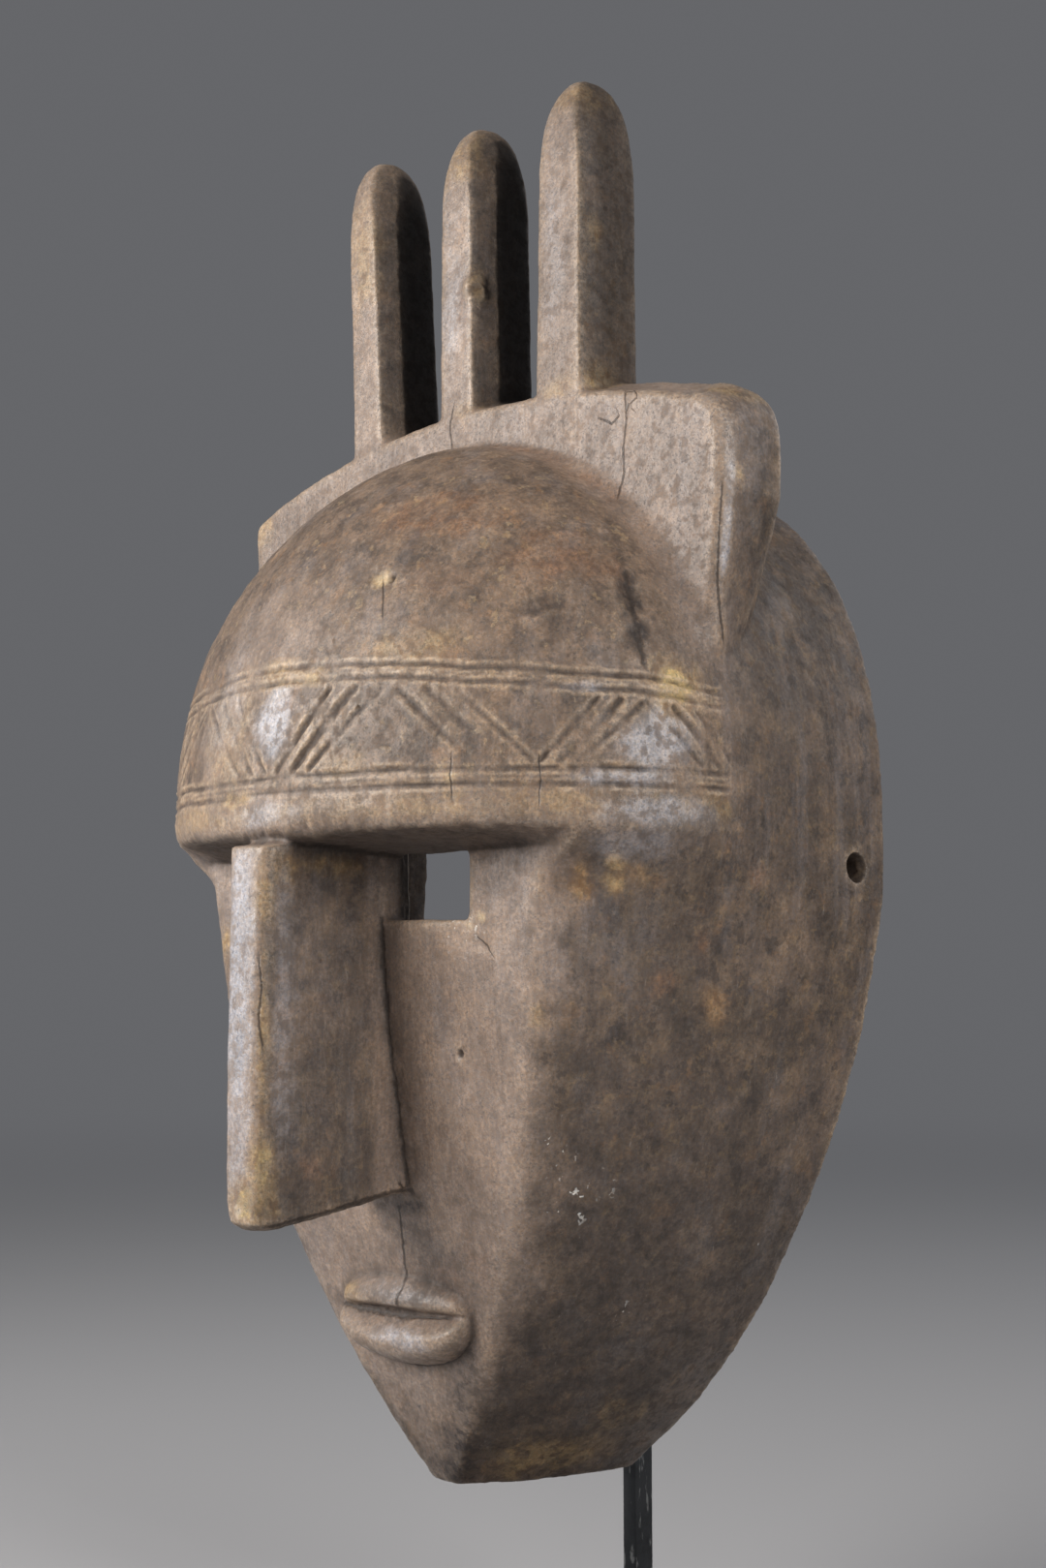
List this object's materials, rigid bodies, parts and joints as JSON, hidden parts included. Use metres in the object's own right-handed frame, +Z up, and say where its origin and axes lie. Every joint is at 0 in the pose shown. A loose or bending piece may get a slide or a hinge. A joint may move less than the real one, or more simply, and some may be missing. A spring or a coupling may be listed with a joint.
{
  "type": "carved wooden mask on a display stand",
  "caption": "Carved wooden face mask with a domed forehead, a crest board with finger-like horns, a wedge nose and square eye holes, on a slim steel post and foot.",
  "frame": {"origin": "on the floor, under the middle of the whole object's box", "axes": "+Z up, -Y the way the face looks, +X to the viewer's right"},
  "size_m": [0.306, 0.2629, 0.719],
  "materials": {
    "carved_wood": "matte, aged patina",
    "post_steel": "blackened satin",
    "foot_steel": "blackened satin"
  },
  "bodies": {
    "root": {"mask": "carved_wood", "stand_post": "post_steel", "stand_foot": "foot_steel"}
  },
  "joints": []
}
